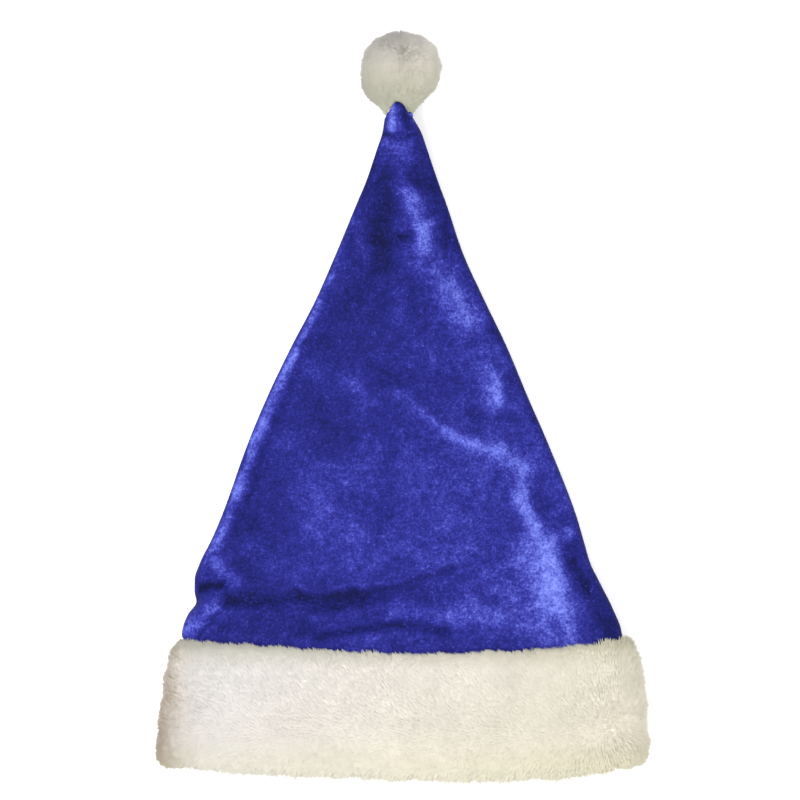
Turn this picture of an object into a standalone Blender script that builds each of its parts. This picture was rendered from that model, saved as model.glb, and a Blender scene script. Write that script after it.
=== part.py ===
"""Santa hat of velour with a plush band and a plush pompom, lying flat on its back.

Metres. +Z is up, +Y runs from the brim to the tip, and the origin is on the floor
under the middle of the hat.
"""
import math
import random

import bmesh
import bpy
import numpy as np
from mathutils import Vector

# Driving sizes
CLOTH = 0.0016
GAP = 0.0003
TIP_Y = 0.1682
LIP_LENGTH = 0.0093
LIP_HALF_ANGLE = math.radians(27)
LIP_RINGS = 6
LIP_GAP = 0.0010

# The mouth is the hollow inside the band: straight walls with round ends
MOUTH_BOTTOM = 0.0100
MOUTH_EDGE = 0.0180
MOUTH_RADIUS = 0.0080
MOUTH_TOP_Y = -0.1370
MOUTH_BRIM_Y = -0.2100
MOUTH_TOP_HALF_WIDTH = 0.1279
MOUTH_BRIM_HALF_WIDTH = 0.1341
MOUTH_TOP_SHIFT = 0.0015
HEM_YS = (-0.1600, -0.1520, -0.1440, -0.1385)

# Columns round a section: on the upper layer, in each quarter fold, on the lower layer
CROWN_UPPER = 20
CROWN_UNDER = 8
BAND_UPPER = 26
BAND_UNDER = 12
QUARTER_FOLD = 4
CROWN_RINGS = 30
POMPOM_COLUMNS = 24

# The crown's sections, flattened: sides, lowest height, height of the side folds,
# radius of the folds, rise of the upper layer over them, and 0 flat to 1 round
CROWN_COLUMNS = ("y", "left", "right", "bottom", "edge", "shoulder", "dome", "roundness")
CROWN_SECTIONS = (
    (-0.1334, -0.1288, 0.1283, 0.0098, 0.0177, 0.0078, 0.0006, 0.02),
    (-0.1282, -0.1280, 0.1272, 0.0084, 0.0166, 0.0077, 0.0012, 0.05),
    (-0.1212, -0.1251, 0.1243, 0.0066, 0.0150, 0.0075, 0.0020, 0.08),
    (-0.1142, -0.1204, 0.1212, 0.0050, 0.0134, 0.0073, 0.0033, 0.12),
    (-0.1080, -0.1216, 0.1180, 0.0036, 0.0118, 0.0071, 0.0043, 0.15),
    (-0.1014, -0.1216, 0.1147, 0.0025, 0.0104, 0.0068, 0.0055, 0.18),
    (-0.0920, -0.1187, 0.1101, 0.0013, 0.0088, 0.0065, 0.0072, 0.21),
    (-0.0780, -0.1118, 0.1060, 0.0003, 0.0072, 0.0062, 0.0091, 0.25),
    (-0.0640, -0.1058, 0.1019, 0.0000, 0.0062, 0.0060, 0.0102, 0.28),
    (-0.0220, -0.0907, 0.0855, 0.0000, 0.0057, 0.0056, 0.0100, 0.31),
    (0.0060, -0.0790, 0.0733, 0.0000, 0.0055, 0.0055, 0.0095, 0.34),
    (0.0340, -0.0656, 0.0616, 0.0000, 0.0054, 0.0054, 0.0087, 0.37),
    (0.0620, -0.0510, 0.0482, 0.0000, 0.0054, 0.0054, 0.0078, 0.42),
    (0.0900, -0.0387, 0.0354, 0.0000, 0.0054, 0.0054, 0.0066, 0.50),
    (0.1180, -0.0271, 0.0260, 0.0001, 0.0058, 0.0057, 0.0048, 0.62),
    (0.1320, -0.0212, 0.0208, 0.0006, 0.0068, 0.0062, 0.0034, 0.78),
    (0.1507, -0.0148, 0.0144, 0.0032, 0.0110, 0.0076, 0.0010, 0.95),
    (0.1600, -0.0117, 0.0111, 0.0058, 0.0140, 0.0081, 0.0003, 1.00),
    (0.1682, -0.0104, 0.0064, 0.0071, 0.0155, 0.0084, 0.0000, 1.00),
)

# Folds laid into the upper layer: a crest (+) or crease (-) between two points
FOLD_COLUMNS = ("x1", "y1", "x2", "y2", "width", "height")
FOLDS = (
    (-0.1035, -0.1130, -0.0598, -0.1154, 0.0050, -0.0024),
    (-0.0598, -0.1154, -0.0078, -0.1072, 0.0052, -0.0024),
    (-0.0078, -0.1072, 0.0260, -0.0932, 0.0055, -0.0016),
    (-0.1180, -0.1060, -0.1047, -0.1066, 0.0038, -0.0030),
    (-0.1250, -0.1230, -0.1085, -0.1065, 0.0050, 0.0020),
    (-0.0580, -0.1320, -0.0078, -0.1247, 0.0055, -0.0022),
    (0.0091, -0.1294, 0.0260, -0.1294, 0.0050, -0.0018),
    (-0.0700, -0.1240, 0.0200, -0.1160, 0.0045, 0.0012),
    (-0.0067, 0.0089, 0.0126, -0.0033, 0.0060, 0.0018),
    (0.0126, -0.0033, 0.0447, -0.0220, 0.0060, 0.0018),
    (0.0599, -0.0284, 0.0704, -0.0605, 0.0080, 0.0020),
    (0.0832, -0.0780, 0.0920, -0.1247, 0.0120, 0.0022),
    (0.1036, -0.0897, 0.1200, -0.1290, 0.0070, -0.0020),
    (0.0237, -0.1070, 0.0558, -0.1230, 0.0090, 0.0012),
    (0.0074, 0.1297, 0.0161, 0.0842, 0.0070, 0.0016),
    (0.0161, 0.0842, 0.0383, 0.0445, 0.0080, 0.0016),
    (0.0482, 0.0288, 0.0628, -0.0057, 0.0080, 0.0015),
    (-0.0131, 0.1320, -0.0131, 0.1105, 0.0050, -0.0015),
    (-0.0160, 0.1029, -0.0160, 0.0824, 0.0060, -0.0016),
    (0.0015, 0.0990, 0.0015, 0.0920, 0.0050, -0.0015),
    (-0.0417, 0.0620, -0.1099, -0.0944, 0.0050, -0.0016),
)
FOLD_FADE = 0.0080

# The band's edges seen from above, and its wall's section: 0 brim to 1 upper edge,
# and how far out of the mouth's wall
EDGE_COLUMNS = ("x", "brim", "upper")
BAND_EDGES = (
    (-0.1450, -0.2090, -0.1375),
    (-0.1250, -0.2105, -0.1375),
    (-0.0840, -0.2135, -0.1405),
    (-0.0420, -0.2152, -0.1430),
    (0.0000, -0.2168, -0.1448),
    (0.0490, -0.2176, -0.1442),
    (0.0980, -0.2152, -0.1410),
    (0.1250, -0.2105, -0.1375),
    (0.1450, -0.2080, -0.1365),
)
WALL_COLUMNS = ("along", "out")
WALL_SECTION = (
    (0.955, 0.0000),
    (0.700, 0.0000),
    (0.400, 0.0000),
    (0.120, 0.0000),
    (0.035, 0.0008),
    (0.000, 0.0042),
    (0.018, 0.0080),
    (0.075, 0.0098),
    (0.190, 0.0104),
    (0.310, 0.0104),
    (0.430, 0.0103),
    (0.550, 0.0101),
    (0.670, 0.0098),
    (0.785, 0.0091),
    (0.885, 0.0078),
    (0.965, 0.0056),
    (1.000, 0.0032),
    (0.985, 0.0010),
)
LOCK_ROWS = range(5, 15)
BAND_LOCK = 0.0021
BAND_LOCK_LEAN = Vector((0.0, -0.0014, 0.0))

# The pompom's sections: radius, height and sideways place of the middle
POMPOM_SECTION_COLUMNS = ("y", "radius", "height", "side")
POMPOM_SECTIONS = (
    (0.1560, 0.0000, 0.0131, -0.0018),
    (0.1566, 0.0040, 0.0132, -0.0018),
    (0.1585, 0.0056, 0.0134, -0.0018),
    (0.1640, 0.0060, 0.0146, -0.0019),
    (0.1682, 0.0063, 0.0155, -0.0020),
    (0.1700, 0.0071, 0.0164, -0.0021),
    (0.1721, 0.0088, 0.0175, -0.0022),
    (0.1741, 0.0106, 0.0184, -0.0023),
    (0.1776, 0.0142, 0.0202, -0.0026),
    (0.1811, 0.0176, 0.0214, -0.0027),
    (0.1850, 0.0203, 0.0225, -0.0024),
    (0.1900, 0.0223, 0.0231, -0.0017),
    (0.1950, 0.0230, 0.0233, -0.0012),
    (0.2000, 0.0229, 0.0234, -0.0008),
    (0.2048, 0.0219, 0.0234, -0.0006),
    (0.2094, 0.0198, 0.0234, -0.0006),
    (0.2132, 0.0166, 0.0234, -0.0008),
    (0.2160, 0.0122, 0.0234, -0.0009),
    (0.2176, 0.0072, 0.0234, -0.0009),
    (0.2182, 0.0000, 0.0234, -0.0009),
)
POMPOM_LOCK = 0.0022
POMPOM_LOCKS_FROM_Y = 0.1812

VELOUR_BLUE = (0.045, 0.045, 0.300, 1.0)
PLUSH_CREAM = (0.800, 0.760, 0.650, 1.0)
POMPOM_CREAM = (0.600, 0.570, 0.500, 1.0)


def clear_scene():
    for old in list(bpy.data.objects):
        bpy.data.objects.remove(old, do_unlink=True)


def make_material(name, colour, roughness):
    material = bpy.data.materials.new(name)
    material.use_nodes = True
    shader = material.node_tree.nodes["Principled BSDF"]
    shader.inputs["Base Color"].default_value = colour
    shader.inputs["Roughness"].default_value = roughness
    shader.inputs["Metallic"].default_value = 0.0
    return material


def columns_of(names, rows):
    values = np.array(rows)
    return {name: values[:, index] for index, name in enumerate(names)}


def smooth_slopes(xs, values):
    """Slopes of a curve through the rows that never overshoots them."""
    steps = np.diff(xs)
    rises = np.diff(values) / steps
    slopes = np.zeros(len(xs))
    slopes[0] = rises[0]
    slopes[-1] = rises[-1]
    for index in range(1, len(xs) - 1):
        before = rises[index - 1]
        after = rises[index]
        if before * after > 0:
            slopes[index] = 2 * before * after / (before + after)
    return slopes


def read_smooth(table, key, name, at):
    """One named column of a table at a place between its rows."""
    xs = table[key]
    values = table[name]
    at = min(max(at, xs[0]), xs[-1])
    index = min(int(np.searchsorted(xs, at, side="right")) - 1, len(xs) - 2)
    slopes = smooth_slopes(xs, values)
    step = xs[index + 1] - xs[index]
    part = (at - xs[index]) / step
    start_weight = 2 * part**3 - 3 * part**2 + 1
    start_slope = (part**3 - 2 * part**2 + part) * step
    end_weight = 3 * part**2 - 2 * part**3
    end_slope = (part**3 - part**2) * step
    return (
        start_weight * values[index]
        + start_slope * slopes[index]
        + end_weight * values[index + 1]
        + end_slope * slopes[index + 1]
    )


def ring_columns(upper, under):
    """Each column's angle on a flat and on a round section, and its place across.

    Columns run from the left fold over the upper layer to the right fold, and
    back along the lower layer.
    """
    columns = []
    for count, first_angle in ((upper, math.pi), (under, 0.0)):
        steps = count + 2 * QUARTER_FOLD
        direction = 1 if first_angle > 0 else -1
        for step in range(steps):
            even = first_angle - math.pi * step / steps
            if step < QUARTER_FOLD:
                flat = first_angle - math.pi / 2 * step / QUARTER_FOLD
                across = -1.0
            elif step <= QUARTER_FOLD + count:
                flat = first_angle - math.pi / 2
                across = 2 * (step - QUARTER_FOLD) / count - 1
            else:
                past = step - QUARTER_FOLD - count
                flat = first_angle - math.pi / 2 * (1 + past / QUARTER_FOLD)
                across = 1.0
            columns.append({"even": even, "flat": flat, "across": across * direction})
    return columns


def mouth_side(y, side):
    """The left (-1) or right (+1) end of the hollow inside the band."""
    part = (y - MOUTH_TOP_Y) / (MOUTH_BRIM_Y - MOUTH_TOP_Y)
    half_width = MOUTH_TOP_HALF_WIDTH + part * (MOUTH_BRIM_HALF_WIDTH - MOUTH_TOP_HALF_WIDTH)
    return MOUTH_TOP_SHIFT * (1 - part) + side * half_width


def hem_row(y):
    """The crown's section where it is tucked into the band."""
    left = mouth_side(y, -1) + GAP
    right = mouth_side(y, 1) - GAP
    return (y, left, right, MOUTH_BOTTOM + GAP, MOUTH_EDGE, MOUTH_RADIUS - GAP, 0.0, 0.0)


def fold_height(folds, x, y):
    """How far the folds lift or sink the upper layer at a place."""
    total = 0.0
    for row in folds:
        fold = dict(zip(FOLD_COLUMNS, row))
        start = Vector((fold["x1"], fold["y1"]))
        run = Vector((fold["x2"], fold["y2"])) - start
        part = (Vector((x, y)) - start).dot(run) / run.length_squared
        nearest = start + run * min(max(part, 0.0), 1.0)
        distance = (Vector((x, y)) - nearest).length
        total += fold["height"] * math.exp(-((distance / fold["width"]) ** 2))
    return total


def crown_point(table, column, y):
    """A point of the crown's outer face."""
    row = {name: read_smooth(table, "y", name, y) for name in CROWN_COLUMNS}
    middle = (row["left"] + row["right"]) / 2
    half_width = (row["right"] - row["left"]) / 2
    angle = column["flat"] + row["roundness"] * (column["even"] - column["flat"])
    upper = math.sin(angle) > 0
    radius = row["shoulder"] if upper else row["edge"] - row["bottom"]
    core = half_width - row["shoulder"]
    x = middle + core * column["across"] + row["shoulder"] * math.cos(angle)
    z = row["edge"] + radius * math.sin(angle)
    if upper:
        z += row["dome"] * (1 - column["across"] ** 2) ** 2
        inside = half_width - abs(x - middle)
        past_hem = y - HEM_YS[-1]
        fade = min(max(min(inside, past_hem) / FOLD_FADE, 0.0), 1.0)
        z += fold_height(FOLDS, x, y) * fade * math.sin(angle)
    return Vector((x, y, z))


def lip_point(pompom, angle, y):
    """A point of the crown's lip, which lies on the pompom's neck."""
    radius = read_smooth(pompom, "y", "radius", y)
    ahead = read_smooth(pompom, "y", "radius", y + GAP)
    slope = (ahead - radius) / GAP
    out = radius + (LIP_GAP + CLOTH) * math.sqrt(1 + slope**2)
    x = read_smooth(pompom, "y", "side", y) + out * math.cos(angle)
    z = read_smooth(pompom, "y", "height", y) + out * math.sin(angle)
    return Vector((x, y, z))


def crown_ring_ys():
    """Base places of the rings: close at the folds by the band and at the lip."""
    first_body = -0.1334
    last_even = 0.1560
    body_rings = CROWN_RINGS - len(HEM_YS) - LIP_RINGS
    ys = list(HEM_YS)
    for index in range(body_rings):
        part = index / (body_rings - 1)
        ys.append(first_body + (last_even - first_body) * part**1.25)
    for index in range(LIP_RINGS):
        ys.append(last_even + (TIP_Y - last_even) * (index + 1) / LIP_RINGS)
    return ys


def make_mesh_object(name, points, faces, material, collection):
    mesh = bpy.data.meshes.new(name)
    mesh.from_pydata([tuple(point) for point in points], [], faces)
    mesh.materials.append(material)
    mesh.shade_smooth()
    piece = bpy.data.objects.new(name, mesh)
    collection.objects.link(piece)
    return piece


def make_crown(collection, material):
    rows = [hem_row(y) for y in HEM_YS] + list(CROWN_SECTIONS)
    table = columns_of(CROWN_COLUMNS, rows)
    pompom = columns_of(POMPOM_SECTION_COLUMNS, POMPOM_SECTIONS)
    columns = ring_columns(CROWN_UPPER, CROWN_UNDER)
    ring_ys = crown_ring_ys()
    points = []
    for ring, base_y in enumerate(ring_ys):
        lip_share = max(0.0, (ring - len(ring_ys) + 1 + LIP_RINGS) / LIP_RINGS)
        for column in columns:
            from_top = abs(math.pi / 2 - column["even"])
            reach = LIP_LENGTH * lip_share * math.exp(-((from_top / LIP_HALF_ANGLE) ** 2))
            y = base_y + reach
            if y <= TIP_Y:
                points.append(crown_point(table, column, y))
            else:
                points.append(lip_point(pompom, column["even"], y))
    count = len(columns)
    faces = []
    for ring in range(len(ring_ys) - 1):
        for column in range(count):
            beside = (column + 1) % count
            near = ring * count
            far = near + count
            faces.append((near + column, near + beside, far + beside, far + column))
    crown = make_mesh_object("crown", points, faces, material, collection)
    wall = crown.modifiers.new("cloth wall", "SOLIDIFY")
    wall.thickness = CLOTH
    wall.offset = -1.0
    return crown


def raise_locks(mesh, lock_faces, height, lean, seed):
    """Raises each named face to a leaning point, as one lock of the pile."""
    rng = random.Random(seed)
    shape = bmesh.new()
    shape.from_mesh(mesh)
    shape.faces.ensure_lookup_table()
    chosen = [shape.faces[index] for index in lock_faces]
    tips = bmesh.ops.poke(shape, faces=chosen, offset=0.0)["verts"]
    shape.normal_update()
    moves = []
    for tip in tips:
        out = tip.normal * height * rng.uniform(0.6, 1.15)
        jitter = Vector((rng.uniform(-1, 1), rng.uniform(-1, 1), 0.0)) * height * 0.4
        moves.append(out + lean + jitter)
    for tip, move in zip(tips, moves):
        tip.co += move
        tip.co.z = max(tip.co.z, 0.0)
    shape.to_mesh(mesh)
    shape.free()


def make_band(collection, material):
    edges = columns_of(EDGE_COLUMNS, BAND_EDGES)
    columns = ring_columns(BAND_UPPER, BAND_UNDER)
    points = []
    for row in WALL_SECTION:
        wall = dict(zip(WALL_COLUMNS, row))
        end_y = MOUTH_BRIM_Y + wall["along"] * (MOUTH_TOP_Y - MOUTH_BRIM_Y)
        left = mouth_side(end_y, -1)
        right = mouth_side(end_y, 1)
        middle = (left + right) / 2
        core = (right - left) / 2 - MOUTH_RADIUS
        for column in columns:
            radius = MOUTH_RADIUS + wall["out"]
            x = middle + core * column["across"] + radius * math.cos(column["flat"])
            z = MOUTH_EDGE + radius * math.sin(column["flat"])
            brim = read_smooth(edges, "x", "brim", x)
            upper = read_smooth(edges, "x", "upper", x)
            points.append((x, brim + wall["along"] * (upper - brim), max(z, 0.0)))
    count = len(columns)
    row_count = len(WALL_SECTION)
    faces = []
    lock_faces = []
    for row in range(row_count):
        near = row * count
        far = (row + 1) % row_count * count
        for column in range(count):
            beside = (column + 1) % count
            if row in LOCK_ROWS and column < BAND_UPPER + 2 * QUARTER_FOLD:
                lock_faces.append(len(faces))
            faces.append((near + column, near + beside, far + beside, far + column))
    band = make_mesh_object("fur_band", points, faces, material, collection)
    raise_locks(band.data, lock_faces, BAND_LOCK, BAND_LOCK_LEAN, 11)
    return band


def make_pompom(collection, material):
    rings = POMPOM_SECTIONS[1:-1]
    shape = bmesh.new()
    bmesh.ops.create_uvsphere(
        shape, u_segments=POMPOM_COLUMNS, v_segments=len(rings) + 1, radius=1.0
    )
    lowest = POMPOM_SECTIONS[0]
    highest = POMPOM_SECTIONS[-1]
    for vertex in shape.verts:
        polar = math.acos(min(max(-vertex.co.z, -1.0), 1.0))
        ring = round(polar / math.pi * (len(rings) + 1)) - 1
        turn = math.atan2(vertex.co.y, vertex.co.x)
        if ring < 0:
            row = lowest
        elif ring >= len(rings):
            row = highest
        else:
            row = rings[ring]
        section = dict(zip(POMPOM_SECTION_COLUMNS, row))
        x = section["side"] - section["radius"] * math.cos(turn)
        z = section["height"] + section["radius"] * math.sin(turn)
        vertex.co = Vector((x, section["y"], max(z, 0.0)))
    shape.normal_update()
    if shape.calc_volume(signed=True) < 0:
        bmesh.ops.reverse_faces(shape, faces=shape.faces)
    mesh = bpy.data.meshes.new("pompom")
    shape.to_mesh(mesh)
    shape.free()
    mesh.materials.append(material)
    mesh.shade_smooth()
    pompom = bpy.data.objects.new("pompom", mesh)
    collection.objects.link(pompom)
    lock_faces = []
    for face in mesh.polygons:
        if face.center.y > POMPOM_LOCKS_FROM_Y and face.center.z > 0.002:
            lock_faces.append(face.index)
    raise_locks(mesh, lock_faces, POMPOM_LOCK, Vector((0.0, 0.0, 0.0)), 23)
    return pompom


def build_hat():
    clear_scene()
    collection = bpy.data.collections.new("santa_hat")
    bpy.context.scene.collection.children.link(collection)
    make_crown(collection, make_material("velour_blue", VELOUR_BLUE, 0.85))
    make_band(collection, make_material("plush_cream", PLUSH_CREAM, 0.95))
    make_pompom(collection, make_material("plush_pompom", POMPOM_CREAM, 0.95))


build_hat()
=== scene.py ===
import math
import random

import bpy
import numpy as np
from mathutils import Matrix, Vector, noise


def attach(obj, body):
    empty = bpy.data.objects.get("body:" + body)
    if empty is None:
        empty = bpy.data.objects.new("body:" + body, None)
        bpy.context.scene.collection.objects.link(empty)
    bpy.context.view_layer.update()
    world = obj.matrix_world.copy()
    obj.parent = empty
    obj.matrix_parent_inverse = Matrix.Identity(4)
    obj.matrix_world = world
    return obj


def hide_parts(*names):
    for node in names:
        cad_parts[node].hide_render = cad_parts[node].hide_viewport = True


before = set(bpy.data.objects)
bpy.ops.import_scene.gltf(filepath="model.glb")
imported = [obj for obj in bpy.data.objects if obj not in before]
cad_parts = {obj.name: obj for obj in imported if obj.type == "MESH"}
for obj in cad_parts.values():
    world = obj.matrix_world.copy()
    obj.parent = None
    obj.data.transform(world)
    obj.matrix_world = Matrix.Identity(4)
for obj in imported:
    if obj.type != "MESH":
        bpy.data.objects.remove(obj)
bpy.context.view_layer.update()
frameGap = 0.0003  # kept free between two pieces, and over the table
print("frame loaded", list(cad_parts))


# Helpers for objects, materials and nodes
def addObject(name, data):
    made = bpy.data.objects.new(name, data)
    bpy.context.scene.collection.objects.link(made)
    return made


def setInputs(node, values):
    # A plain value is set, and another node's output is linked
    for name, value in values.items():
        if isinstance(value, bpy.types.NodeSocket):
            node.id_data.links.new(value, node.inputs[name])
        else:
            node.inputs[name].default_value = value


def newMaterial(name, finish):
    material = bpy.data.materials.new(name)
    material.use_nodes = True
    shader = material.node_tree.nodes["Principled BSDF"]
    setInputs(shader, finish)
    return material, material.node_tree, shader


def addNode(tree, kind, label="", inputs=None, **settings):
    node = tree.nodes.new(kind)
    node.label = label
    for key, value in settings.items():
        setattr(node, key, value)
    setInputs(node, inputs or {})
    return node


def addNoise(tree, coords, label, scale, detail=3.0, rough=0.55, distortion=0.0):
    inputs = {"Vector": coords, "Scale": scale, "Detail": detail, "Roughness": rough}
    inputs["Distortion"] = distortion
    return addNode(tree, "ShaderNodeTexNoise", label, inputs).outputs["Fac"]


def addWave(tree, coords, label, axis, scale, distortion):
    inputs = {"Vector": coords, "Scale": scale, "Distortion": distortion}
    bands = {"wave_type": "BANDS", "bands_direction": axis}
    return addNode(tree, "ShaderNodeTexWave", label, inputs, **bands).outputs["Fac"]


def addMath(tree, operation, first, second, clamp=False):
    inputs = {0: first, 1: second}
    return addNode(tree, "ShaderNodeMath", "", inputs, operation=operation, use_clamp=clamp).outputs[0]


def addVectorMath(tree, operation, inputs):
    return addNode(tree, "ShaderNodeVectorMath", "", inputs, operation=operation).outputs["Vector"]


def addScaled(tree, base, value, weight):
    # The base with a share of another value added to it
    return addMath(tree, "ADD", base, addMath(tree, "MULTIPLY", value, weight))


def addRamp(tree, factor, stops, label=""):
    node = addNode(tree, "ShaderNodeValToRGB", label, {"Fac": factor})
    ramp = node.color_ramp
    while len(ramp.elements) < len(stops):
        ramp.elements.new(0.5)
    for element, (place, colour) in zip(ramp.elements, stops):
        element.position = place
        element.color = (*colour, 1.0)
    return node.outputs["Color"]


def addBump(tree, height, strength, distance, inputs=None):
    inputs = {"Height": height, "Strength": strength, "Distance": distance, **(inputs or {})}
    return addNode(tree, "ShaderNodeBump", "", inputs).outputs["Normal"]


def objectCoords(tree):
    return addNode(tree, "ShaderNodeTexCoord").outputs["Object"]


def readAttribute(tree, name, label):
    return addNode(tree, "ShaderNodeAttribute", label, attribute_name=name).outputs["Fac"]


# Camera, floor and light: the hat lies on a white table, seen from straight above
studio = {
    "frameWidth": 0.4668,  # how much of the table the picture is wide
    "lookAt": (-0.0014, 0.0037),
    "cameraHeight": 3.0,
    "sharpHeight": 0.018,
    "floorSize": 6.0,
    "floorTint": (0.97, 0.97, 0.97),
    "skyTint": (1.0, 0.995, 0.985),
    "skyStrength": 1.22,
    "keyPower": 22.0,
    "keySize": 1.3,
    "keyAt": (-0.75, -0.35, 1.25),
    "fillPower": 9.0,
    "fillSize": 1.6,
    "fillAt": (0.9, 0.0, 1.2),
}


def addAreaLight(name):
    light = bpy.data.lights.new(name, "AREA")
    light.energy = studio[name + "Power"]
    light.shape = "DISK"
    light.size = studio[name + "Size"]
    lamp = addObject(name, light)
    lamp.location = studio[name + "At"]
    lamp.rotation_euler = (-Vector(studio[name + "At"])).to_track_quat("-Z", "Y").to_euler()


def makeStudio():
    scene = bpy.context.scene
    scene.view_settings.view_transform = "Standard"
    scene.view_settings.look = "None"
    lens = bpy.data.cameras.new("camera")
    lens.sensor_width = 36.0
    distance = studio["cameraHeight"] - studio["sharpHeight"]
    lens.lens = lens.sensor_width * distance / studio["frameWidth"]
    lens.clip_end = 50.0
    camera = addObject("camera", lens)
    camera.location = (*studio["lookAt"], studio["cameraHeight"])
    scene.camera = camera

    world = bpy.data.worlds.new("sky")
    world.use_nodes = True
    sky = {"Color": (*studio["skyTint"], 1.0), "Strength": studio["skyStrength"]}
    setInputs(world.node_tree.nodes["Background"], sky)
    scene.world = world
    addAreaLight("key")
    addAreaLight("fill")

    half = studio["floorSize"] / 2
    corners = [(-half, -half, 0), (half, -half, 0), (half, half, 0), (-half, half, 0)]
    mesh = bpy.data.meshes.new("table")
    mesh.from_pydata(corners, [], [(0, 1, 2, 3)])
    paint = {"Base Color": (*studio["floorTint"], 1.0), "Roughness": 1.0, "Specular IOR Level": 0.0}
    mesh.materials.append(newMaterial("table paint", paint)[0])
    addObject("table", mesh)


makeStudio()
print("studio ready")


# Tables are written in millimetres, apart from a last few columns that hold plain shares
def inMetres(rows, shares=0):
    values = np.array(rows, dtype=float)
    values[:, : values.shape[1] - shares] *= 0.001
    return values


# A table with named columns, read along a smooth curve that never overshoots a row
def smoothTable(columns, values):
    keys = values[:, 0]
    steps = np.diff(keys)[:, None]
    rises = np.diff(values, axis=0) / steps
    before, after = rises[:-1], rises[1:]
    total = np.where(before * after > 0, before + after, 1.0)
    inner = np.where(before * after > 0, 2 * before * after / total, 0.0)
    slopes = np.vstack([rises[:1], inner, rises[-1:]])

    def read(at):
        at = np.clip(at, keys[0], keys[-1])
        index = np.clip(np.searchsorted(keys, at, side="right") - 1, 0, len(keys) - 2)
        step = (keys[index + 1] - keys[index])[..., None]
        part = ((at - keys[index])[..., None]) / step
        curve = (
            (2 * part**3 - 3 * part**2 + 1) * values[index]
            + (part**3 - 2 * part**2 + part) * step * slopes[index]
            + (3 * part**2 - 2 * part**3) * values[index + 1]
            + (part**3 - part**2) * step * slopes[index + 1]
        )
        return {name: curve[..., place] for place, name in enumerate(columns)}

    return read


# Each column's angle on a flat section and on a round one, and its place across
def ringColumns(piece):
    quarter = piece["quarterColumns"]
    flat, even, across = [], [], []
    for count, first in ((piece["upperColumns"], math.pi), (piece["underColumns"], 0.0)):
        steps = count + 2 * quarter
        way = 1 if first > 0 else -1
        for step in range(steps):
            even.append(first - math.pi * step / steps)
            if step < quarter:
                flat.append(first - math.pi / 2 * step / quarter)
                across.append(-1.0 * way)
            elif step <= quarter + count:
                flat.append(first - math.pi / 2)
                across.append((2 * (step - quarter) / count - 1) * way)
            else:
                flat.append(first - math.pi / 2 * (1 + (step - quarter - count) / quarter))
                across.append(1.0 * way)
    return np.array(flat), np.array(even), np.array(across)


def gridFaces(rings, columns, closedRings=False):
    ring = np.arange(rings if closedRings else rings - 1)
    column = np.arange(columns)
    near = (ring * columns)[:, None]
    far = ((ring + 1) % rings * columns)[:, None]
    beside = ((column + 1) % columns)[None, :]
    column = column[None, :]
    faces = np.stack([near + column, near + beside, far + beside, far + column], axis=-1)
    return faces.reshape(-1, 4)


def meshPiece(name, points, faces, materials=()):
    mesh = bpy.data.meshes.new(name)
    faces = [tuple(int(place) for place in face) for face in faces]
    mesh.from_pydata(np.asarray(points).tolist(), [], faces)
    for material in materials:
        mesh.materials.append(material)
    mesh.shade_smooth()
    return addObject(name, mesh)


def addFloatAttribute(mesh, name, values):
    layer = mesh.attributes.new(name, "FLOAT", "POINT")
    layer.data.foreach_set("value", np.asarray(values, dtype=np.float32).ravel())


# Soft uneven noise over the cloth, from -1 to 1
def crumpleAt(xs, ys, size, seed):
    flatXs, flatYs = xs.ravel() / size, ys.ravel() / size
    values = [noise.noise(Vector((x, y, seed))) for x, y in zip(flatXs, flatYs)]
    return np.array(values).reshape(xs.shape)


def patchesAt(xs, ys, patches):
    strength, size, seed = patches
    return 1 + strength * crumpleAt(xs, ys, size, seed)


# The band's mouth, which the crown's hem is tucked into
mouth = {
    "bottom": 0.0100,
    "edge": 0.0180,
    "radius": 0.0080,
    "upperY": -0.1370,
    "brimY": -0.2100,
    "upperHalf": 0.1279,
    "brimHalf": 0.1341,
    "upperShift": 0.0015,
}
mouthDepth = mouth["upperY"] - mouth["brimY"]


def mouthSide(y, side):
    part = (mouth["upperY"] - y) / mouthDepth
    half = mouth["upperHalf"] + part * (mouth["brimHalf"] - mouth["upperHalf"])
    return mouth["upperShift"] * (1 - part) + side * half


# Crown: a velour cone folded flat
crownHat = {
    "cloth": 0.0016,
    "hemYs": (-0.1600, -0.1520, -0.1440, -0.1385),
    "tipY": 0.1682,
    "lipLobes": ((0.0072, 1, 30), (0.0008, 52, 16), (0.0014, -54, 15)),  # reach, degrees, width
    "lipGap": 0.0010,
    "lipFromY": 0.1560,
    "lipBlend": 0.0016,
    "lipFolds": 0.6,  # how much of the folds goes on over the lip
    "upperColumns": 124,
    "underColumns": 46,
    "quarterColumns": 9,
    "rings": 212,
    "lipRings": 24,
    "ringCrowding": 1.1,  # above 1, the rings are closer together at the hem
    "foldFade": 0.0070,
    "puckerPitch": 0.0105,  # between the small gathers above the band
    "puckerHeight": 0.0006,
    "puckerDrift": (3, 31),  # how far and how often the gathers leave their pitch
    "puckerY": -0.142,
    "puckerReach": 0.012,
    "crumple": 0.0007,
    "crumples": ((1.0, 1.0, 0.022, 3.1), (0.5, 1.4, 0.010, 7.7)),  # share, squeeze along y, size, seed
    "wander": ((0.0160, 0.0011, 21.3), (0.0050, 0.0007, 4.9)),  # size, reach and seed of each drift
    "edgePaintedShade": 0.45,  # painted shade: how much darker the cloth is painted where it turns under
    "edgeWidth": 0.0013,
    "napSheenShadePatches": (0.3, 0.0110, 33.0),  # strength, size and seed of the patches in the painted sheen and shade
    "napSheenShadeLimit": 1.3,
}
crownColumns = ("y", "left", "right", "bottom", "edge", "shoulder", "dome", "roundness")
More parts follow.
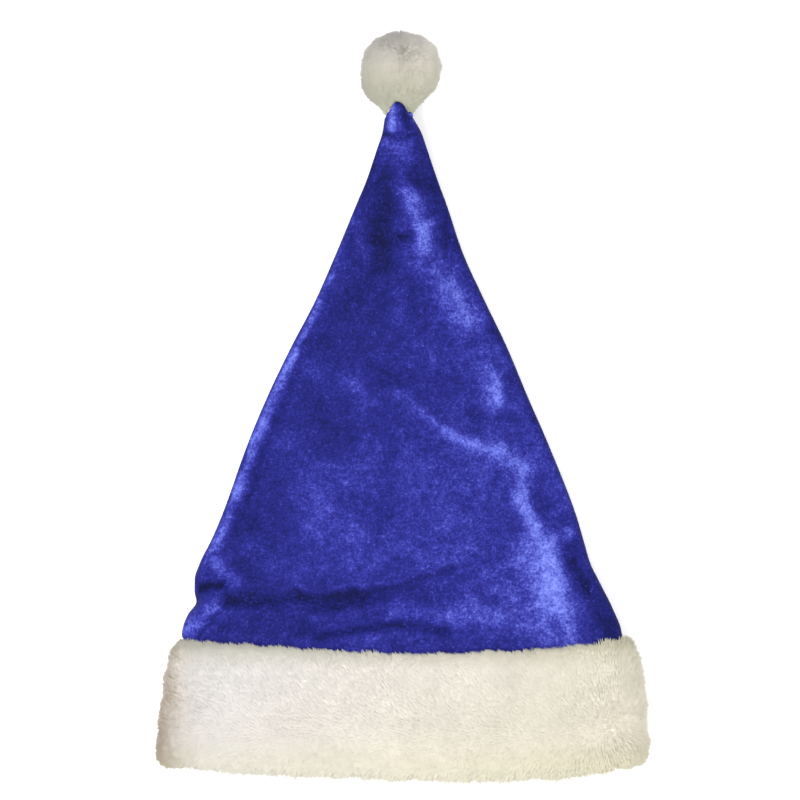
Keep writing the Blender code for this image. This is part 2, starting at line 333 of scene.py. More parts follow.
crownRows = (
    (-133.4, -128.8, 128.3, 9.8, 17.7, 7.8, 0.6, 0.02),
    (-128.2, -128.0, 127.2, 8.4, 16.6, 7.7, 1.2, 0.05),
    (-121.2, -125.1, 124.3, 6.6, 15.0, 7.5, 2.0, 0.08),
    (-114.2, -120.4, 121.2, 5.0, 13.4, 7.3, 3.3, 0.12),
    (-108.0, -121.6, 118.0, 3.6, 11.8, 7.1, 4.3, 0.15),
    (-101.4, -121.6, 114.7, 2.5, 10.4, 6.8, 5.5, 0.18),
    (-92.0, -118.7, 110.1, 1.3, 8.8, 6.5, 7.2, 0.21),
    (-78.0, -111.8, 106.0, 0.3, 7.2, 6.2, 9.1, 0.25),
    (-64.0, -105.8, 101.9, 0.0, 6.2, 6.0, 10.2, 0.28),
    (-22.0, -90.7, 85.5, 0.0, 5.7, 5.6, 10.0, 0.31),
    (6.0, -79.0, 73.3, 0.0, 5.5, 5.5, 9.5, 0.34),
    (34.0, -65.6, 61.6, 0.0, 5.4, 5.4, 8.7, 0.37),
    (62.0, -51.0, 48.2, 0.0, 5.4, 5.4, 7.8, 0.42),
    (90.0, -38.7, 35.4, 0.0, 5.4, 5.4, 6.6, 0.5),
    (118.0, -27.1, 26.0, 0.1, 5.8, 5.7, 4.8, 0.62),
    (132.0, -21.2, 20.8, 0.6, 6.8, 6.2, 3.4, 0.78),
    (150.7, -14.8, 14.4, 3.2, 11.0, 7.6, 1.0, 0.95),
    (160.0, -11.7, 11.1, 5.8, 14.0, 8.1, 0.3, 1.0),
    (168.2, -10.4, 6.4, 7.1, 15.5, 8.4, 0.0, 1.0),
)

# Folds in the upper layer, crests (+) and creases (-): x1, y1, x2, y2, width, height
foldRows = (
    (-103.5, -113.0, -59.8, -113.6, 4.2, -2.0),
    (-59.8, -113.6, -2.6, -106.2, 4.2, -2.0),
    (-2.6, -106.2, 29.5, -93.2, 4.0, -1.3),
    (-118.0, -106.0, -103.5, -105.3, 2.6, -2.6),
    (-4.0, 176.0, -3.6, 164.0, 4.0, 1.2),
    (2.8, 172.0, 4.2, 160.0, 1.6, -1.2),
    (6.0, 169.0, 7.2, 161.0, 1.8, 0.7),
    (-9.6, 159.0, 7.9, 157.2, 1.8, -0.9),
    (-125.0, -123.0, -108.5, -106.5, 4.5, 2.4),
    (-58.0, -132.0, -7.8, -124.7, 5.0, -2.4),
    (9.1, -129.4, 26.0, -129.4, 4.5, -2.0),
    (-70.0, -124.0, 20.0, -116.0, 4.2, 1.4),
    (-6.7, 8.9, 12.6, -3.3, 5.5, 1.8),
    (12.6, -3.3, 44.7, -22.0, 5.5, 1.9),
    (59.9, -28.4, 70.4, -60.5, 7.0, 2.1),
    (83.2, -78.0, 92.0, -124.7, 11.0, 2.3),
    (103.6, -89.7, 120.0, -129.0, 6.5, -2.1),
    (23.7, -107.0, 55.8, -123.0, 8.0, 1.3),
    (7.4, 129.7, 16.1, 84.2, 6.5, 1.7),
    (16.1, 84.2, 38.3, 44.5, 7.5, 1.7),
    (48.2, 28.8, 62.8, -5.7, 7.5, 1.6),
    (-13.1, 132.0, -13.1, 110.5, 4.8, -1.5),
    (-16.0, 102.9, -16.0, 82.4, 5.5, -1.7),
    (1.5, 99.0, 1.5, 92.0, 4.5, -1.6),
    (-41.7, 62.0, -109.9, -94.4, 4.2, -1.8),
)

# Strokes of nap brushed to the light (+) or away from it (-), painted into the colour as sheen
# highlights (+) and shade (-); many lie on the folds, as painted highlights on crests and along the
# rolled left edge and painted shade in creases: x1, y1, x2, y2, width, strength
napSheenShadeRows = (
    (-6.1, 174.1, -5.5, 162.4, 2.2, 0.75),
    (0.9, 174.0, 3.3, 161.2, 2.4, -0.75),
    (4.4, 170.0, 6.0, 165.8, 1.4, 1.25),
    (-2.0, 177.5, 1.0, 176.5, 1.2, -0.4),
    (-4.3, 156.0, 3.3, 143.0, 4.0, 0.3),
    (-9.6, 159.0, 7.9, 157.2, 1.8, -0.7),
    (-10.7, 148.0, -9.0, 146.0, 4.0, -0.4),
    (9.1, 149.6, 17.3, 129.0, 5.0, -0.5),
    (-14.8, 129.7, -8.4, 122.7, 5.0, -0.5),
    (-12.0, 141.0, -16.0, 133.0, 2.5, 0.35),
    (4.0, 123.5, 7.5, 115.0, 6.4, 0.85),
    (7.5, 115.0, 11.8, 106.0, 4.5, 0.5),
    (13.0, 104.0, 11.8, 90.5, 6.6, 1.1),
    (-4.5, 88.5, 11.8, 91.5, 4.0, 0.45),
    (0.0, 133.0, 2.0, 127.0, 5.0, 0.3),
    (-6.1, 98.2, 4.4, 99.4, 3.2, -0.75),
    (-4.3, 103.5, 5.6, 101.7, 1.6, 0.35),
    (-23.6, 100.5, -21.2, 97.0, 4.0, -0.5),
    (-9.0, 87.7, -7.2, 84.2, 4.0, -0.6),
    (23.7, 120.4, 26.0, 105.8, 4.0, -0.4),
    (22.5, 74.5, 40.0, 47.0, 9.5, 0.7),
    (29.0, 68.0, 38.5, 50.0, 5.5, 0.74),
    (44.5, 31.0, 57.0, 0.0, 8.5, 0.6),
    (50.0, 24.0, 56.5, 3.0, 4.8, 0.66),
    (10.9, -3.3, 25.4, -14.4, 2.8, 0.5),
    (25.4, -14.4, 47.6, -23.7, 3.0, 0.68),
    (47.6, -23.7, 65.7, -29.0, 4.0, 0.6),
    (-5.5, 9.5, 10.9, -3.3, 5.0, 0.3),
    (-47.5, 23.5, -23.6, 9.5, 9.0, 0.22),
    (58.7, -28.4, 71.0, -36.6, 6.2, 0.8),
    (71.0, -36.6, 69.2, -54.1, 5.6, 1.0),
    (69.2, -54.1, 78.0, -71.0, 4.2, 1.05),
    (78.0, -71.0, 80.9, -80.9, 4.2, 0.95),
    (78.0, -86.0, 81.0, -113.0, 11.5, 0.8),
    (79.0, -118.0, 84.0, -134.0, 7.5, 0.75),
    (85.0, -83.0, 90.5, -118.0, 8.5, 1.2),
    (93.0, -118.0, 98.5, -138.0, 8.5, 0.8),
    (92.0, -85.0, 98.4, -75.0, 3.4, 0.75),
    (60.0, -120.0, 90.0, -134.0, 9.0, 0.5),
    (23.7, -113.0, 57.0, -121.8, 10.0, 0.45),
    (30.7, -113.0, 26.6, -124.7, 1.8, 0.5),
    (51.1, -98.4, 71.5, -89.7, 7.0, 0.42),
    (-108.0, -93.0, -98.5, -101.0, 5.4, 0.9),
    (-118.1, -106.0, -102.3, -104.9, 1.8, -1.1),
    (-125.0, -131.0, -105.0, -112.0, 5.0, 0.85),
    (-115.2, -131.7, -99.4, -115.9, 2.5, 0.4),
    (-119.0, -134.0, -108.0, -121.0, 1.2, -0.7),
    (-102.3, -112.4, -85.4, -114.2, 4.2, -1.0),
    (-85.4, -114.2, -58.0, -112.4, 4.4, -0.8),
    (-58.0, -112.4, -33.5, -110.7, 4.4, -0.9),
    (-33.5, -110.7, -2.6, -105.4, 3.8, -0.95),
    (-2.6, -105.4, 29.5, -93.2, 2.4, -0.75),
    (-58.0, -119.4, -7.8, -111.3, 2.2, -0.55),
    (-7.8, -111.3, 16.1, -98.4, 2.2, -0.45),
    (-42.2, -106.0, -2.6, -102.5, 1.6, 0.45),
    (-2.6, -102.5, 21.9, -94.4, 1.4, 0.35),
    (-49.2, -134.6, -27.1, -129.4, 2.8, -0.75),
    (-27.1, -129.4, 0.4, -127.6, 3.0, -0.8),
    (0.4, -127.6, 24.9, -131.1, 3.6, -0.85),
    (-67.9, -132.3, -67.0, -131.0, 1.4, 0.8),
    (-95.4, -95.5, -73.0, -116.0, 9.0, -0.52),
    (-106.0, -127.0, -60.0, -130.0, 9.0, -0.5),
    (-62.7, -96.7, -54.5, -108.9, 1.6, 0.35),
    (97.5, -83.3, 115.3, -113.0, 7.0, -0.65),
    (115.3, -113.0, 125.8, -136.4, 8.0, -0.65),
    (100.0, -89.7, 110.0, -107.2, 3.2, -1.0),
    (110.0, -107.2, 119.0, -120.0, 3.5, -0.35),
    (74.5, -47.1, 92.0, -66.3, 7.0, -0.35),
    (87.9, -63.4, 97.8, -57.6, 2.5, 0.35),
    (19.0, 132.0, 34.0, 90.0, 3.0, -0.4),
    (34.0, 90.0, 60.0, 34.0, 3.0, -0.4),
    (60.0, 34.0, 84.0, -22.0, 3.0, -0.4),
    (-29.4, 109.3, -42.2, 76.0, 1.8, 0.5),
    (-42.2, 76.0, -62.1, 32.9, 2.8, 0.75),
    (-62.1, 32.9, -81.3, -8.0, 3.8, 0.95),
    (-81.3, -8.0, -96.5, -50.0, 4.2, 1.0),
    (-96.5, -50.0, -109.9, -82.7, 3.8, 0.8),
    (-109.9, -82.7, -117.0, -96.0, 2.6, 0.45),
    (-55.7, 32.9, -74.3, -8.0, 2.8, -0.5),
    (-74.3, -8.0, -88.9, -50.0, 2.8, -0.5),
    (-88.9, -50.0, -101.8, -82.7, 2.8, -0.45),
    (-24.7, 70.0, -10.0, 25.0, 22.0, -0.42),
    (-13.0, 133.0, -13.0, 85.0, 10.0, -0.85),
    (-72.0, 15.0, -85.0, -35.0, 13.0, -0.25),
    (18.0, 133.0, 27.0, 108.0, 5.0, -0.5),
    (5.0, 82.0, 15.0, 35.0, 10.0, -0.2),
    (-19.0, -54.7, 30.0, -70.0, 35.0, 0.08),
    (-4.0, -96.0, 17.0, -108.0, 11.0, -0.42),
    (-70.0, -40.0, -85.0, -85.0, 16.0, -0.2),
    (-50.0, 34.0, -43.0, 27.0, 10.0, -0.65),
    (-32.0, 16.0, -23.0, 9.0, 8.0, 0.45),
    (-31.0, 101.0, -27.0, 83.0, 6.0, -0.75),
    (5.0, 87.0, 11.0, 78.0, 6.0, 0.6),
    (25.0, 103.0, 26.5, 95.0, 5.0, -0.6),
    (7.0, 140.0, 8.5, 131.0, 5.0, -0.65),
    (5.0, 64.0, 9.0, 44.0, 8.0, -0.4),
    (-11.0, 156.0, -10.0, 148.0, 4.0, 0.45),
    (-45.0, -62.0, -8.0, -94.0, 18.0, 0.28),
    (6.0, -110.0, 27.0, -111.0, 7.5, -0.62),
    (-60.0, 12.0, -43.0, -8.0, 13.0, -0.35),
    (-79.0, -3.0, -74.0, -14.0, 8.0, -0.35),
    (44.0, -6.5, 58.0, -5.5, 7.5, -0.5),
    (56.0, 33.0, 61.0, 26.0, 5.5, 0.45),
    (62.0, 16.0, 64.0, 6.0, 5.0, -0.5),
    (40.5, 34.0, 42.5, 27.0, 6.0, -0.4),
    (-90.0, -68.0, -96.0, -84.0, 8.0, -0.5),
    (-82.0, -90.0, -96.0, -93.0, 7.0, -0.4),
    (-100.0, -112.5, -89.0, -110.0, 6.0, -1.0),
    (55.0, -108.0, 68.0, -113.0, 8.0, 0.48),
    (-33.0, 48.0, -56.0, -8.0, 17.0, -0.3),
)


def crownSections():
    hem = [
        (
            y,
            mouthSide(y, -1) + frameGap,
            mouthSide(y, 1) - frameGap,
            mouth["bottom"] + frameGap,
            mouth["edge"],
            mouth["radius"] - frameGap,
            0.0,
            0.0,
        )
        for y in crownHat["hemYs"]
    ]
    return smoothTable(crownColumns, np.vstack([hem, inMetres(crownRows, shares=1)]))


def strokes(rows, xs, ys):
    # Strokes of one sign that meet run into one, so that their joint stands out no more than they do
    raised, sunk = np.zeros_like(xs), np.zeros_like(xs)
    for x1, y1, x2, y2, width, amount in rows:
        runX, runY = x2 - x1, y2 - y1
        part = ((xs - x1) * runX + (ys - y1) * runY) / (runX**2 + runY**2)
        part = np.clip(part, 0.0, 1.0)
        away = np.hypot(xs - x1 - part * runX, ys - y1 - part * runY) / width
        both = raised if amount > 0 else sunk
        both += (abs(amount) * np.exp(-(away**2))) ** 4
    return raised**0.25 - sunk**0.25


def wander(xs, ys):
    # Lets straight strokes drift a little, as a real crease does
    for size, reach, seed in crownHat["wander"]:
        xs, ys = (
            xs + reach * 2 * crumpleAt(xs, ys, size, seed),
            ys + reach * 2 * crumpleAt(xs, ys, size, seed + 50),
        )
    return xs, ys


def crownGrid(pompomAt):
    flat, even, across = ringColumns(crownHat)
    firstY, lipY, tipY = crownHat["hemYs"][0], crownHat["lipFromY"], crownHat["tipY"]
    body = np.linspace(0.0, 1.0, crownHat["rings"] - crownHat["lipRings"]) ** crownHat["ringCrowding"]
    lipYs = np.linspace(lipY, tipY, crownHat["lipRings"] + 1)[1:]
    baseYs = np.concatenate([firstY + (lipY - firstY) * body, lipYs])
    share = np.clip((baseYs - lipY) / (tipY - lipY), 0.0, 1.0)[:, None]
    fromTop = (np.degrees(even)[None, :] + 90) % 360 - 180
    lobes = 0.0
    for reach, at, spread in crownHat["lipLobes"]:
        lobes = lobes + reach * np.exp(-(((fromTop - at) / spread) ** 2))
    ys = baseYs[:, None] + share * lobes
    row = crownSections()(ys)
    middle = (row["left"] + row["right"]) / 2
    half = (row["right"] - row["left"]) / 2
    angle = flat + row["roundness"] * (even - flat)
    upper = np.sin(angle) > 0
    radius = np.where(upper, row["shoulder"], row["edge"] - row["bottom"])
    xs = middle + (half - row["shoulder"]) * across + row["shoulder"] * np.cos(angle)
    zs = row["edge"] + radius * np.sin(angle)
    zs += np.where(upper, row["dome"] * (1 - across**2) ** 2, 0.0)

    # Folds, gathers and a light crumple on the upper layer only
    inside = half - np.abs(xs - middle)
    pastHem = ys - crownHat["hemYs"][-1]
    fade = np.clip(np.minimum(inside, pastHem) / crownHat["foldFade"], 0.0, 1.0)
    fade = np.where(upper, fade * np.sin(angle), 0.0)
    folds = strokes(inMetres(foldRows), *wander(xs, ys))
    swing, often = crownHat["puckerDrift"]
    gather = np.sin(2 * math.pi * xs / crownHat["puckerPitch"] + swing * np.sin(often * xs))
    fromPuckers = (ys - crownHat["puckerY"]) / crownHat["puckerReach"]
    gather *= crownHat["puckerHeight"] * np.exp(-(fromPuckers**2))
    crumple = 0.0
    for part, squeeze, size, seed in crownHat["crumples"]:
        crumple = crumple + part * crumpleAt(xs, ys * squeeze, size, seed)
    zs += (folds + gather + crownHat["crumple"] * crumple) * fade

    # The lip follows the pompom's neck
    neck = pompomAt(ys)
    ahead = pompomAt(ys + frameGap)
    slope = (ahead["radius"] - neck["radius"]) / frameGap
    out = neck["radius"] + (crownHat["lipGap"] + crownHat["cloth"]) * np.sqrt(1 + slope**2)
    onLip = np.clip((ys - tipY) / crownHat["lipBlend"], 0.0, 1.0)
    onLip = onLip**2 * (3 - 2 * onLip)
    xs += onLip * (neck["side"] + out * np.cos(even) - xs)
    raised = neck["height"] + out * np.sin(even) + crownHat["lipFolds"] * folds * fade
    zs += onLip * (raised - zs)
    return np.stack([xs, ys, zs], axis=-1), upper, inside


# How light each thing makes the velour, on the ramp of velour colours; the nap's part carries painted
# sheen and painted shade
velourLook = {
    "plain": 0.39,
    "patches": 0.60,
    "marks": 0.60,
    "grain": 1.15,
    "napSheenShade": 0.36,
    "napSheenShadeBroken": (0.7, 0.3, 0.50),  # by the marks, by the grain, and not at all
    "tuftsFrom": 0.57,  # grain above this is a tuft that stands out
    "tuftsSharp": 7.0,
    "tuftsInCreases": 0.42,
    "tuftsElsewhere": 0.04,
}


def velourMaterial():
    # Crushed pile: its colour follows the way the nap is brushed, and so carries painted sheen
    # highlights and painted shade
    finish = {
        "Roughness": 0.80,
        "Specular IOR Level": 0.10,
        "Sheen Weight": 0.12,
        "Sheen Roughness": 0.30,
        "Sheen Tint": (0.35, 0.42, 1.0, 1.0),
    }
    material, tree, shader = newMaterial("velour blue", finish)
    coords = objectCoords(tree)
    napSheenShade = readAttribute(tree, "napSheenShade", "nap with painted sheen and shade")
    patches = addNoise(tree, coords, "large crush marks", 30, 4, 0.6, 0.5)
    marks = addNoise(tree, coords, "small crush marks", 190, 5, 0.75, 0.4)
    grain = addNoise(tree, coords, "pile grain", 640, 4, 0.9)
    total = velourLook["plain"]
    for name, mark in (("patches", patches), ("marks", marks), ("grain", grain)):
        total = addScaled(tree, total, addMath(tree, "SUBTRACT", mark, 0.5), velourLook[name])
    byMarks, byGrain, whole = velourLook["napSheenShadeBroken"]
    broken = addScaled(tree, addMath(tree, "MULTIPLY", marks, byMarks), grain, byGrain)
    brushedSheenShade = addMath(tree, "MULTIPLY", napSheenShade, addMath(tree, "ADD", broken, whole))
    total = addScaled(tree, total, brushedSheenShade, velourLook["napSheenShade"])

    # Single tufts that stand out, most of all in the creases
    against = addMath(tree, "MULTIPLY", napSheenShade, -velourLook["tuftsInCreases"], clamp=True)
    proud = addMath(tree, "SUBTRACT", grain, velourLook["tuftsFrom"])
    tufts = addMath(tree, "MULTIPLY", proud, velourLook["tuftsSharp"], clamp=True)
    strength = addMath(tree, "ADD", against, velourLook["tuftsElsewhere"])
    total = addMath(tree, "ADD", total, addMath(tree, "MULTIPLY", tufts, strength))
    stops = (
        (0.00, (0.0012, 0.0024, 0.0300)),
        (0.18, (0.0040, 0.0056, 0.0760)),
        (0.40, (0.0105, 0.0112, 0.1350)),
        (0.58, (0.0260, 0.0290, 0.2350)),
        (0.80, (0.0850, 0.1050, 0.4300)),
        (1.00, (0.1500, 0.1850, 0.5600)),
    )
    rough = addBump(tree, marks, 0.35, 0.0012)
    normal = addBump(tree, grain, 0.30, 0.0004, {"Normal": rough})
    setInputs(shader, {"Base Color": addRamp(tree, total, stops, "velour colour with painted sheen and shade"), "Normal": normal})
    return material


def backingMaterial():
    # The knitted inner side of the velour
    finish = {"Roughness": 0.9, "Specular IOR Level": 0.2}
    material, tree, shader = newMaterial("velour backing", finish)
    coords = objectCoords(tree)
    wale = addWave(tree, coords, "knit wales", "X", 260, 1.0)
    wear = addNoise(tree, coords, "uneven dye", 60, 3)
    mixed = addScaled(tree, addMath(tree, "MULTIPLY", wale, 0.4), wear, 0.6)
    colour = addRamp(tree, mixed, ((0.2, (0.020, 0.022, 0.160)), (0.8, (0.050, 0.055, 0.300))))
    setInputs(shader, {"Base Color": colour, "Normal": addBump(tree, wale, 0.5, 0.0004)})
    return material


# Pompom: a plush ball with a gathered neck inside the crown's tip
pompomColumns = ("y", "radius", "height", "side")
pompomRows = inMetres((
    (156.0, 0.0, 13.1, -1.8),
    (156.6, 4.0, 13.2, -1.8),
    (158.5, 5.6, 13.4, -1.8),
    (164.0, 6.0, 14.6, -1.9),
    (168.2, 6.3, 15.5, -2.0),
    (170.0, 7.1, 16.4, -2.1),
    (172.1, 8.8, 17.5, -2.2),
    (174.1, 10.6, 18.4, -2.3),
    (177.6, 14.2, 20.2, -2.6),
    (181.1, 17.6, 21.4, -2.7),
    (185.0, 20.3, 22.5, -2.4),
    (190.0, 22.3, 23.1, -1.7),
    (195.0, 23.0, 23.3, -1.2),
    (200.0, 22.9, 23.4, -0.8),
    (204.8, 21.9, 23.4, -0.6),
    (209.4, 19.8, 23.4, -0.6),
    (213.2, 16.6, 23.4, -0.8),
    (216.0, 12.2, 23.4, -0.9),
    (217.6, 7.2, 23.4, -0.9),
    (218.2, 0.0, 23.4, -0.9),
))
pompomAt = smoothTable(pompomColumns, pompomRows)


def makeCrown():
    points, upper, inside = crownGrid(pompomAt)
    faces = gridFaces(*points.shape[:2])
    materials = [velourMaterial(), backingMaterial()]
    crown = meshPiece("crown_velour", points.reshape(-1, 3), faces, materials)
    xs, ys = points[..., 0], points[..., 1]
    # The nap strokes paint sheen highlights and shade, in patches, and painted shade darkens the edges
    # where the cloth turns under
    napSheenShade = strokes(inMetres(napSheenShadeRows, shares=1), *wander(xs, ys))
    napSheenShade *= patchesAt(xs, ys, crownHat["napSheenShadePatches"])
    turningShade = np.exp(-((inside / crownHat["edgeWidth"]) ** 2))
    napSheenShade = np.where(upper, napSheenShade - crownHat["edgePaintedShade"] * turningShade, 0.0)
    addFloatAttribute(crown.data, "napSheenShade", np.clip(napSheenShade, -crownHat["napSheenShadeLimit"], crownHat["napSheenShadeLimit"]))
    wall = crown.modifiers.new("cloth wall", "SOLIDIFY")
    wall.thickness = crownHat["cloth"]
    wall.offset = -1.0
    wall.material_offset = 1
    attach(crown, "root")
    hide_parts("crown")


hemThread = {
    "y": -0.1565,
    "pitch": 0.0040,
    "length": 0.0030,
    "radius": 0.00028,
    "sides": 6,
    "rings": ((-0.80, 0.55), (-0.40, 1.00), (0.40, 1.00), (0.80, 0.55)),  # place and thickness
    "sunk": 0.5,  # how much of its radius lies in the cloth
}


def makeStitch():
    # One stitch, a short round thread along X whose ends go into the cloth
    half, radius, sides = hemThread["length"] / 2, hemThread["radius"], hemThread["sides"]
    points = [(-half, 0.0, 0.0), (half, 0.0, 0.0)]
    for place, share in hemThread["rings"]:
        for side in range(sides):
            angle = 2 * math.pi * side / sides
            out = share * radius
            points.append((place * half, out * math.cos(angle), out * math.sin(angle)))
    last = 2 + (len(hemThread["rings"]) - 1) * sides
    faces = [(0, 2 + (side + 1) % sides, 2 + side) for side in range(sides)]
    faces += [(1, last + side, last + (side + 1) % sides) for side in range(sides)]
    for first in range(2, last, sides):
        for side in range(sides):
            beside = (side + 1) % sides
            faces.append((first + side, first + beside, first + sides + beside, first + sides + side))
    return meshPiece("stitch", points, faces)


# Helpers for geometry node trees, which end in one painted mesh
def startTree(name, kinds, output):
    tree = bpy.data.node_groups.new(name, "GeometryNodeTree")
    for label, kind in kinds.items():
        tree.interface.new_socket(label, in_out="INPUT", socket_type="NodeSocket" + kind)
    tree.interface.new_socket(output, in_out="OUTPUT", socket_type="NodeSocketGeometry")
    return tree, addNode(tree, "NodeGroupInput").outputs


def putInstances(tree, points, source, inputs):
    shape = addNode(tree, "GeometryNodeObjectInfo", "", {"Object": source})
    inputs = {"Points": points, "Instance": shape.outputs["Geometry"], **inputs}
    return addNode(tree, "GeometryNodeInstanceOnPoints", "", inputs).outputs["Instances"]


def finishTree(tree, given, instances, output):
    real = addNode(tree, "GeometryNodeRealizeInstances", "", {"Geometry": instances})
    inputs = {"Geometry": real.outputs["Geometry"], "Material": given["Material"]}
    paint = addNode(tree, "GeometryNodeSetMaterial", "", inputs)
    addNode(tree, "NodeGroupOutput", "", {output: paint.outputs["Geometry"]})
    return tree


def runTree(name, tree, host, settings):
    # The result of a node tree on a host, as one plain mesh
    grow = host.modifiers.new("nodes", "NODES")
    grow.node_group = tree
    for socket in tree.interface.items_tree:
        if socket.in_out == "INPUT" and socket.name in settings:
            grow[socket.identifier] = settings[socket.name]
    made = host.evaluated_get(bpy.context.evaluated_depsgraph_get())
    mesh = bpy.data.meshes.new_from_object(made)
    host.modifiers.remove(grow)
    mesh.name = name
    return addObject(name, mesh)


def makeStitchTree():
    # Stitches laid end to end along a path
    kinds = {"Path": "Geometry", "Stitch": "Object", "Pitch": "Float", "Material": "Material"}
    tree, given = startTree("stitch row", kinds, "Row")
    line = addNode(tree, "GeometryNodeMeshToCurve", "", {"Mesh": given["Path"]})
    inputs = {"Curve": line.outputs["Curve"], "Length": given["Pitch"]}
    spaced = addNode(tree, "GeometryNodeResampleCurve", "one point a stitch", inputs, mode="LENGTH")
    along = {"Vector": addNode(tree, "GeometryNodeInputTangent").outputs["Tangent"]}
    turn = addNode(tree, "FunctionNodeAlignRotationToVector", "follow the row", along, axis="X")
    turned = {"Rotation": turn.outputs["Rotation"]}
    row = putInstances(tree, spaced.outputs["Curve"], given["Stitch"], turned)
    return finishTree(tree, given, row, "Row")


def threadMaterial():
    material, tree, shader = newMaterial("sewing thread", {"Roughness": 0.6})
    ply = addNoise(tree, objectCoords(tree), "twisted ply", 2400, 2)
    colour = addRamp(tree, ply, ((0.3, (0.62, 0.59, 0.52)), (0.7, (0.84, 0.81, 0.74))))
    setInputs(shader, {"Base Color": colour, "Normal": addBump(tree, ply, 0.5, 0.0002)})
    return material


def sewHem():
    flat, _, across = ringColumns(crownHat)
    hem = crownSections()(np.array(hemThread["y"]))
    inset = crownHat["cloth"] + hemThread["radius"] * hemThread["sunk"]
    half = (hem["right"] - hem["left"]) / 2
    radius = np.where(np.sin(flat) > 0, hem["shoulder"], hem["edge"] - hem["bottom"]) - inset
    xs = (hem["left"] + hem["right"]) / 2 + (half - hem["shoulder"]) * across
    xs = xs + (hem["shoulder"] - inset) * np.cos(flat)
    zs = hem["edge"] + radius * np.sin(flat)
    points = np.stack([xs, np.full_like(xs, hemThread["y"]), zs], axis=-1)
    mesh = bpy.data.meshes.new("hem line")
    edges = [(place, (place + 1) % len(points)) for place in range(len(points))]
    mesh.from_pydata(points.tolist(), edges, [])
    line = addObject("hem line", mesh)
    stitch = makeStitch()
    settings = {"Stitch": stitch, "Pitch": hemThread["pitch"], "Material": threadMaterial()}
    sewn = runTree("hem_stitches", makeStitchTree(), line, settings)
    bpy.data.objects.remove(line)
    bpy.data.objects.remove(stitch)
    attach(sewn, "root")


makeCrown()
sewHem()
print("crown made")


# Band: a plush strip round the brim, with its own padded wall and a pile on it
bandStrip = {
    "upperColumns": 150,
    "underColumns": 60,
    "quarterColumns": 14,
    "wallRows": 72,
    "wallShare": 0.66,  # of the outer thickness that is backing, the rest is pile
    "brimInset": 0.0030,
    "upperInset": 0.0022,
    "lowest": 0.0004,
    "waves": (0.0008, 0.030, 12.3),  # reach, size and seed
    "wavesFrom": 0.002,  # walls thinner than this stay even
    "ground": (0.76, 0.72, 0.63),
    "tuftsPerM2": 0.96e6,
    "underTuftsPerM2": 1.25e5,
    "pileLength": 0.0052,
    "pileFrom": 0.0016,  # walls thinner than this lie inside the mouth and have no pile
    "pilePatches": (0.35, 0.006, 61.0),  # strength, size and seed of the uneven length
    "softness": 0.86,
    "swirl": 0.50,
    "swirlScale": 62.0,
    "lean": 0.95,
    "combUp": 0.85,
    "combSpan": 0.60,  # over which the comb turns from down to up, as a share of the height
    "combAcross": 0.62,
    "combTurnsAt": 0.120,  # to the left of here the pile is combed to the left
    "combTurn": 0.024,
    "combLeast": 0.10,
    "partingShort": 0.55,  # how much shorter the pile is where it is combed apart
    "partingWidth": 0.20,
    "underFrom": -0.75,  # the sine of the angle below which the band faces the table
    "lipShare": 0.06,  # how far the full pile reaches under the band at its two edges
    "pieceEdges": (-0.052, 0.047),  # where the pile is divided, left to right
    "firstSeed": 40,
    "slot": "plush_cream",
}
edgeColumns = ("x", "brim", "upper")
edgeRows = (
    (-145.0, -209.0, -137.5),
    (-125.0, -210.5, -137.5),
    (-84.0, -213.5, -140.5),
    (-42.0, -215.2, -143.0),
    (0.0, -216.8, -144.8),
    (49.0, -217.6, -144.2),
    (98.0, -215.2, -141.0),
    (125.0, -210.5, -137.5),
    (145.0, -208.0, -136.5),
)
wallRows = (  # share of the way along the mouth, and distance out from it
    (0.955, 0.0000),
    (0.700, 0.0000),
    (0.400, 0.0000),
    (0.120, 0.0000),
    (0.035, 0.0008),
    (0.000, 0.0042),
    (0.018, 0.0080),
    (0.075, 0.0098),
    (0.190, 0.0104),
    (0.430, 0.0103),
    (0.670, 0.0098),
    (0.885, 0.0078),
    (0.965, 0.0056),
    (1.000, 0.0032),
    (0.985, 0.0010),
)


def closedCurve(rows, count):
    # Evenly spaced points on a smooth closed curve through the rows
    scaled = np.array(rows) * np.array([mouthDepth, 1.0])
    dense = []
    size = len(scaled)
    for index in range(size):
        a, b, c, d = (scaled[(index + shift) % size] for shift in (-1, 0, 1, 2))
        second, third = 2 * a - 5 * b + 4 * c - d, 3 * b - a - 3 * c + d
        for part in np.linspace(0, 1, 16, endpoint=False):
            dense.append(0.5 * (2 * b + (c - a) * part + second * part**2 + third * part**3))
    dense = np.array(dense + [dense[0]])
    walked = np.concatenate([[0], np.cumsum(np.hypot(*np.diff(dense, axis=0).T))])
    at = np.linspace(0, walked[-1], count, endpoint=False)
    along = np.interp(at, walked, dense[:, 0]) / mouthDepth
    out = np.interp(at, walked, dense[:, 1])
    return along, np.maximum(out, 0.0)


def bandGrid():
    along, out = closedCurve(wallRows, bandStrip["wallRows"])
    flat, _, across = ringColumns(bandStrip)
    thin = out * bandStrip["wallShare"]
    endY = mouth["brimY"] + along * mouthDepth
    left, right = mouthSide(endY, -1)[:, None], mouthSide(endY, 1)[:, None]
    radius = (mouth["radius"] + thin)[:, None]
    core = (right - left) / 2 - mouth["radius"]
    xs = (left + right) / 2 + core * across + radius * np.cos(flat)
    edges = smoothTable(edgeColumns, inMetres(edgeRows))(xs)
    brim = edges["brim"] + bandStrip["brimInset"]
    upper = edges["upper"] - bandStrip["upperInset"]
    ys = brim + along[:, None] * (upper - brim)
    reach, size, seed = bandStrip["waves"]
    wave = crumpleAt(xs, ys, size, seed) * (thin[:, None] > bandStrip["wavesFrom"])
    zs = mouth["edge"] + (radius + reach * wave) * np.sin(flat)
    isUpper = np.broadcast_to(np.sin(flat) > bandStrip["underFrom"], xs.shape)
    points = np.stack([xs, ys, np.maximum(zs, bandStrip["lowest"])], axis=-1)
    return points, along, out, isUpper


